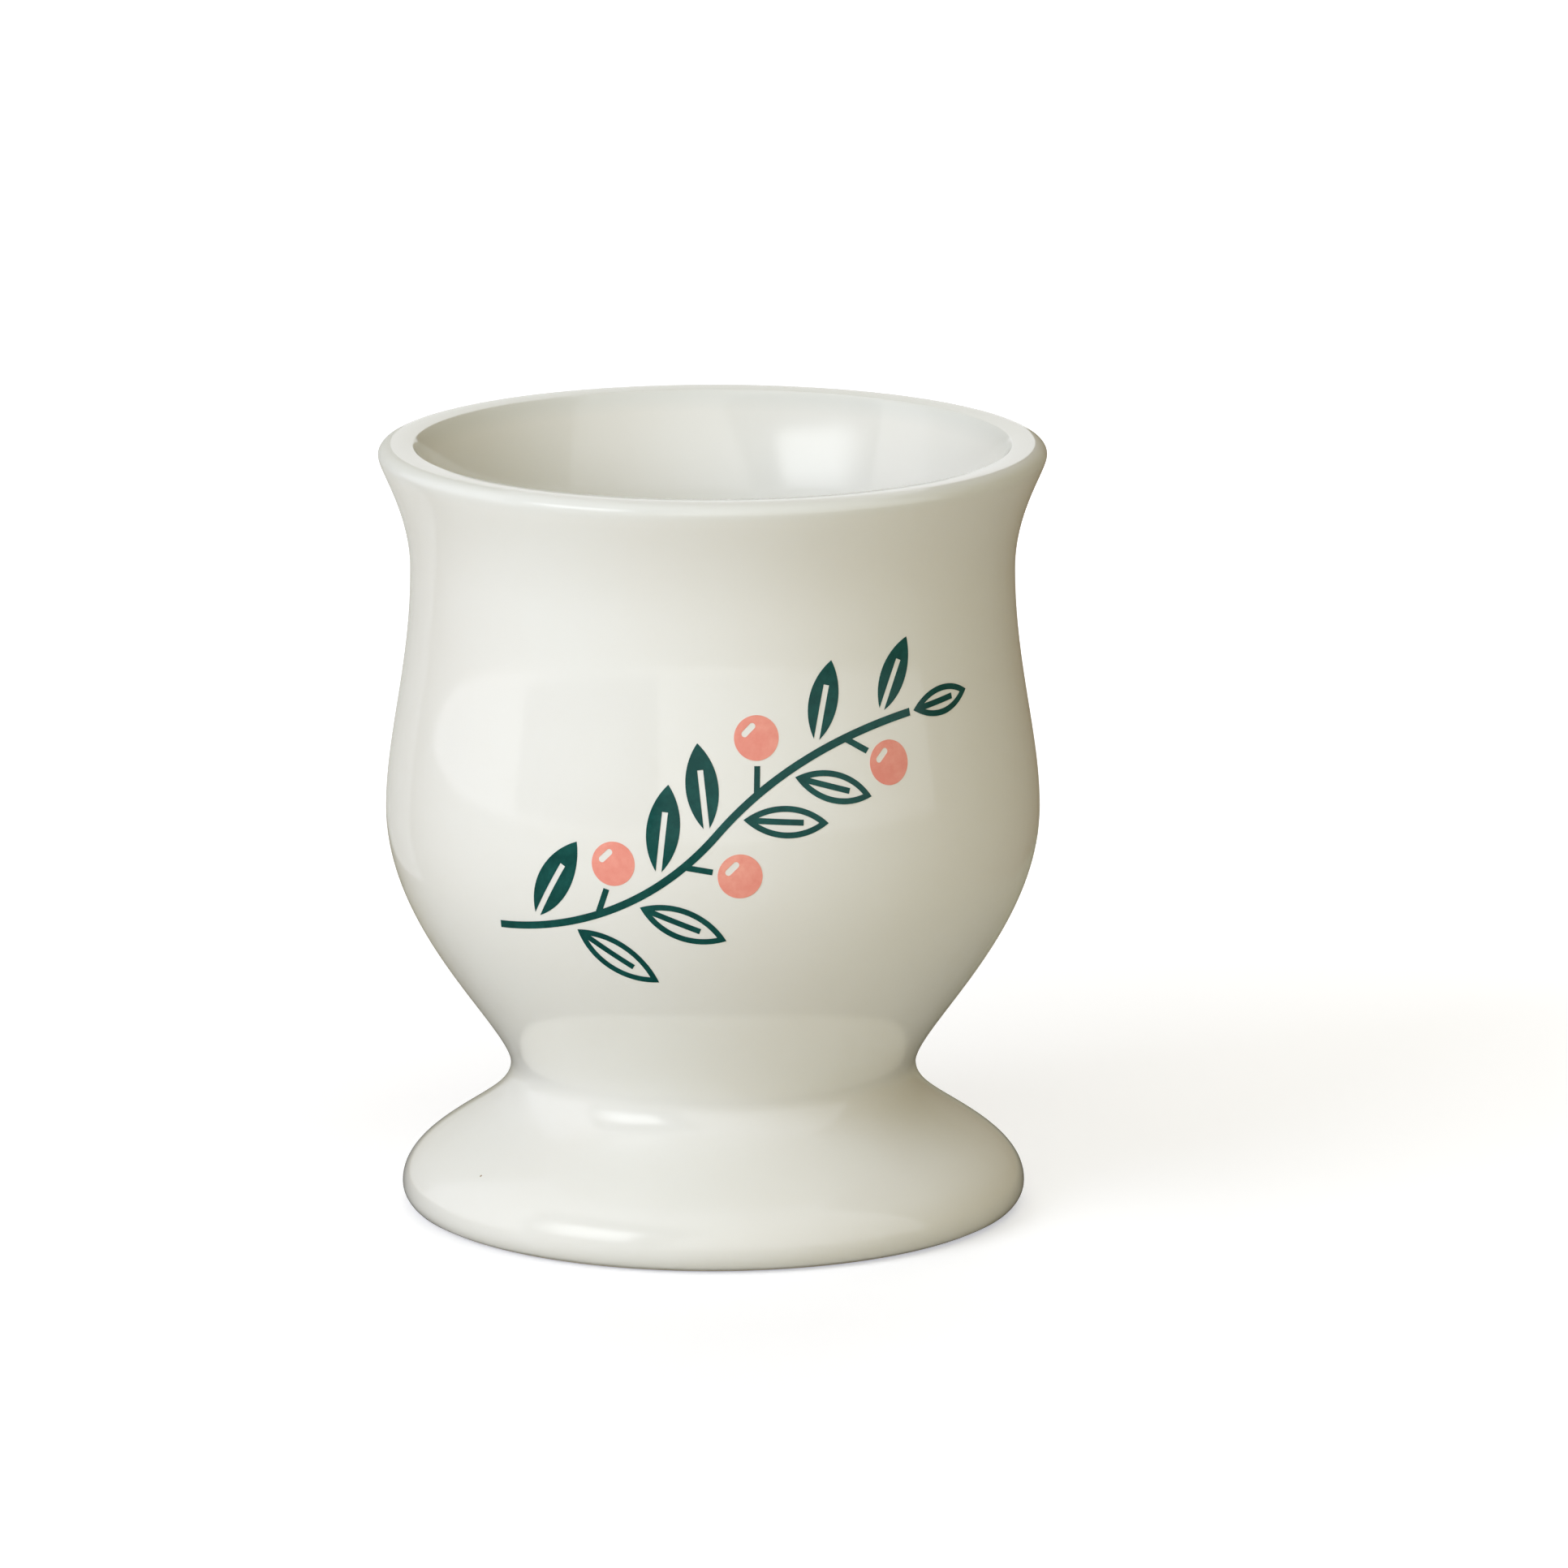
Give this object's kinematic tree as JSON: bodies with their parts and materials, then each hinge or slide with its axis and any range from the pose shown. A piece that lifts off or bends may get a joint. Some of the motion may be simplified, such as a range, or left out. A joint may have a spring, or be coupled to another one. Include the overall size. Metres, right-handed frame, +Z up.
{
  "type": "egg cup",
  "caption": "Footed porcelain egg cup: a rounded bowl with a turned-out lip on a waisted, flared hollow foot, with a leafy berry sprig printed on the front.",
  "frame": {"origin": "centre of the resting ring, on the surface that the cup stands on", "axes": "+Z up along the cup's axis; the printed front faces -Y; +X is to the right of someone who looks at the front"},
  "size_m": [0.0515, 0.0514, 0.06],
  "materials": {
    "glazed_porcelain": "gloss ivory glaze, bare on the resting ring",
    "fired_slip": "fired slip under the glaze",
    "green_ink": "fired ceramic ink, gloss, dark teal green",
    "coral_ink": "fired ceramic ink, gloss, coral"
  },
  "bodies": {
    "root": {"bowl": "glazed_porcelain", "foot": "glazed_porcelain", "slip_joint": "fired_slip", "sprig_stem": "green_ink", "sprig_leaf_1": "green_ink", "sprig_leaf_2": "green_ink", "sprig_leaf_3": "green_ink", "sprig_leaf_4": "green_ink", "sprig_leaf_5": "green_ink", "sprig_leaf_6": "green_ink", "sprig_leaf_7": "green_ink", "sprig_leaf_8": "green_ink", "sprig_leaf_9": "green_ink", "sprig_leaf_10": "green_ink", "sprig_berry_1": "coral_ink", "sprig_berry_2": "coral_ink", "sprig_berry_3": "coral_ink", "sprig_berry_4": "coral_ink"}
  },
  "joints": []
}
